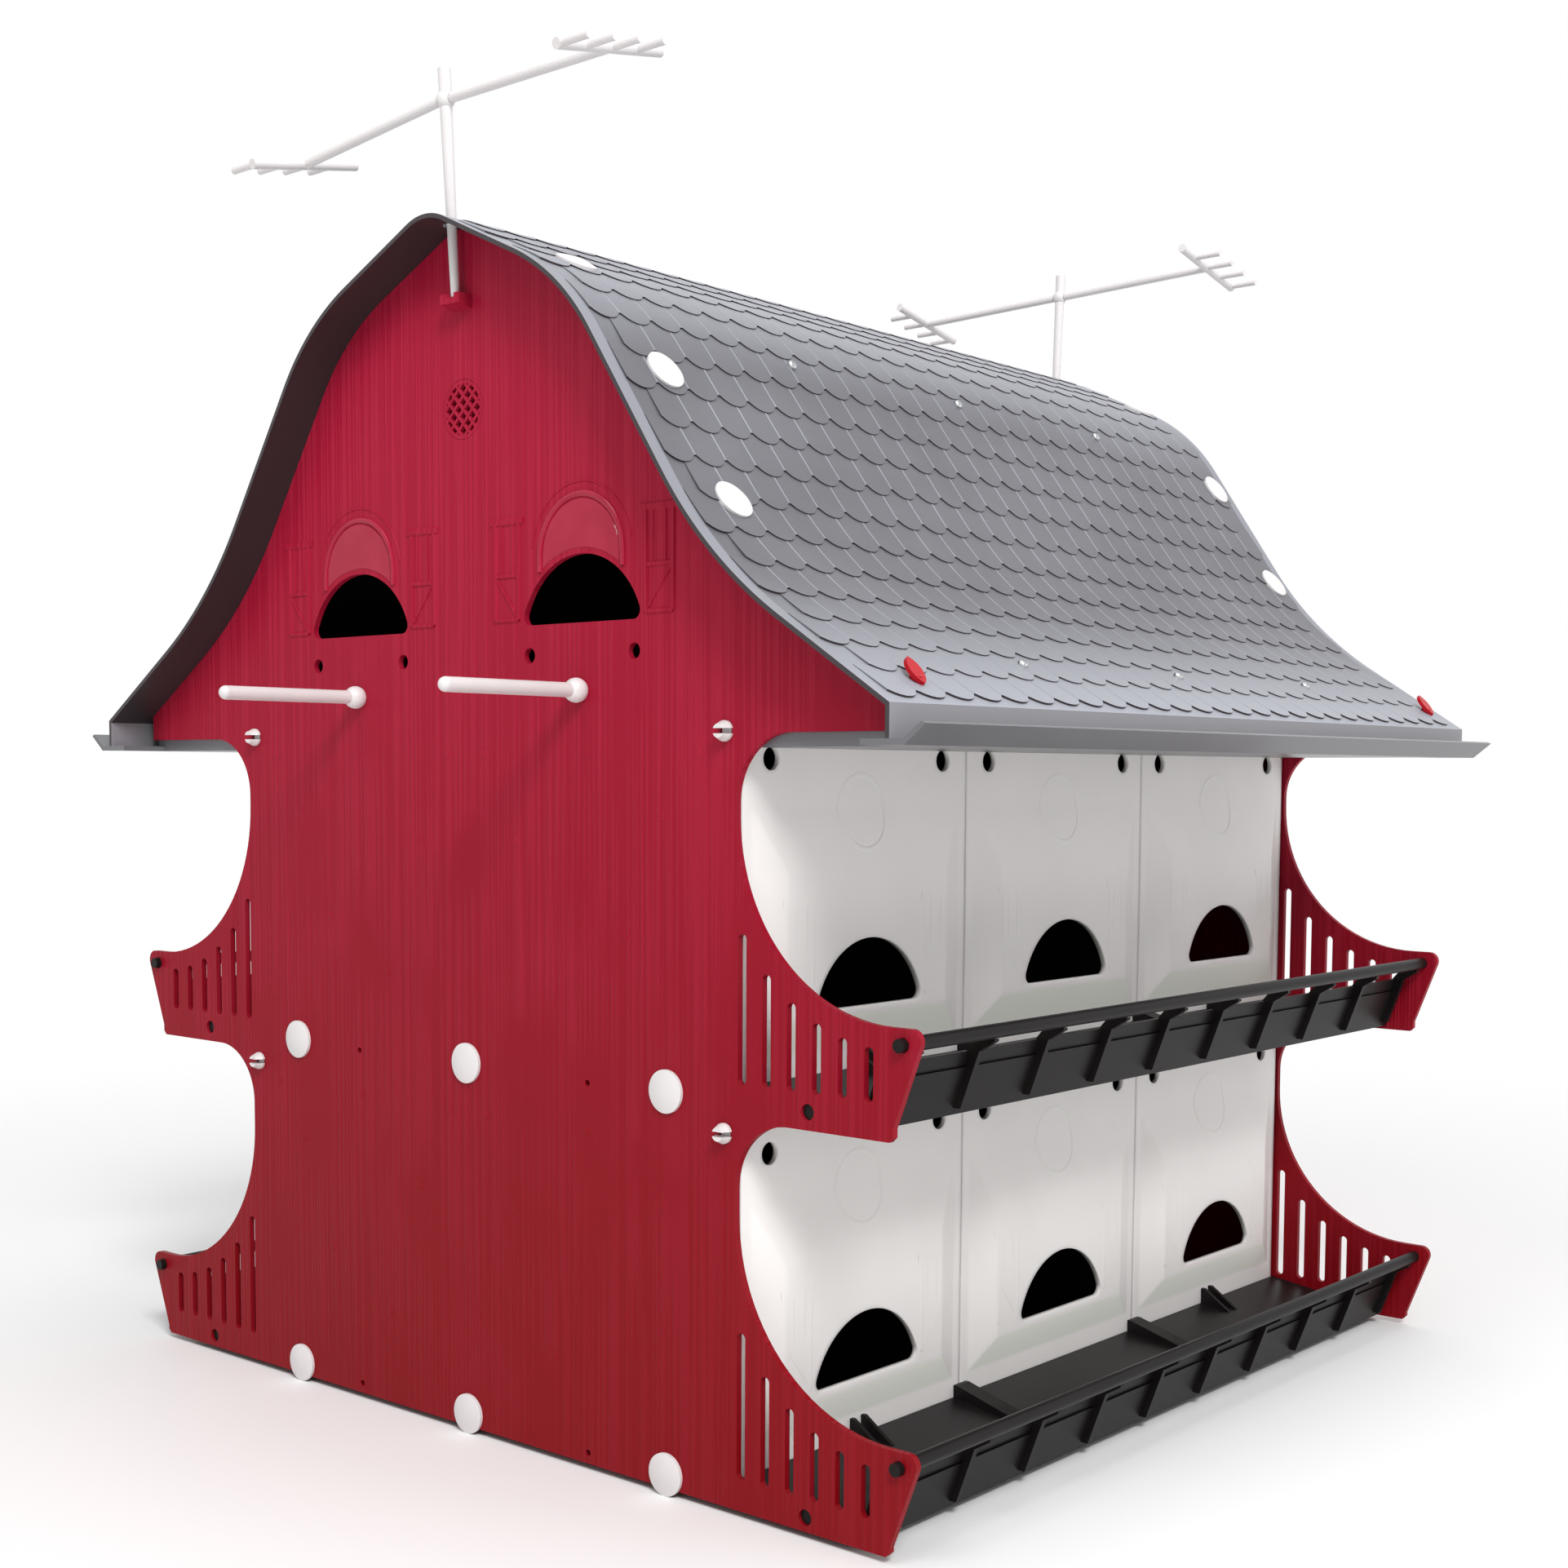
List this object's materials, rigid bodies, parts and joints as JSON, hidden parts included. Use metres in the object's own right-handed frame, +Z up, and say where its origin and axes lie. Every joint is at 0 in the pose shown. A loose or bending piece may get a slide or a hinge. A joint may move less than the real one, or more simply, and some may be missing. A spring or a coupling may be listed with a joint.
{
  "type": "birdhouse",
  "caption": "Two-storey barn-shaped nest box for purple martins with crescent entrances, railed porches, a curved gambrel roof and perching masts",
  "frame": {"origin": "middle of the underside, on the surface that the caps of the lower tie rods rest on", "axes": "X across the house, Y along the ridge towards the back, Z up"},
  "size_m": [0.566, 0.646, 0.6303],
  "materials": {
    "red_plastic": "satin moulded plastic with vertical wood grain",
    "red_tab_plastic": "satin moulded plastic",
    "porch_plastic": "satin moulded plastic",
    "roof_plastic": "satin moulded plastic with shingle relief",
    "gutter_plastic": "satin moulded plastic",
    "front_plastic": "fine matt moulded plastic",
    "floor_plastic": "fine matt moulded plastic",
    "trim_plastic": "satin moulded plastic"
  },
  "bodies": {
    "root": {"front_gable": "red_plastic", "back_gable": "red_plastic", "bottom_floor": "floor_plastic", "middle_floor": "floor_plastic", "attic_floor": "floor_plastic", "lower_dividers": "floor_plastic", "upper_dividers": "floor_plastic", "left_lower_porch": "porch_plastic", "left_upper_porch": "porch_plastic", "right_lower_porch": "porch_plastic", "right_upper_porch": "porch_plastic", "left_lower_rail": "porch_plastic", "left_upper_rail": "porch_plastic", "right_lower_rail": "porch_plastic", "right_upper_rail": "porch_plastic", "left_lower_front_1": "front_plastic", "left_lower_front_2": "front_plastic", "left_lower_front_3": "front_plastic", "left_upper_front_1": "front_plastic", "left_upper_front_2": "front_plastic", "left_upper_front_3": "front_plastic", "right_lower_front_1": "front_plastic", "right_lower_front_2": "front_plastic", "right_lower_front_3": "front_plastic", "right_upper_front_1": "front_plastic", "right_upper_front_2": "front_plastic", "right_upper_front_3": "front_plastic", "left_roof": "roof_plastic", "right_roof": "roof_plastic", "left_gutter": "gutter_plastic", "right_gutter": "gutter_plastic", "front_caps": "trim_plastic", "back_caps": "trim_plastic", "roof_caps": "trim_plastic", "snap_pins": "trim_plastic", "front_perches": "trim_plastic", "back_perches": "trim_plastic", "front_vent": "red_plastic", "back_vent": "red_plastic", "front_mast": "trim_plastic", "back_mast": "trim_plastic", "front_arm": "trim_plastic", "back_arm": "trim_plastic", "mast_brackets": "red_plastic", "roof_tabs": "red_tab_plastic"}
  },
  "joints": []
}
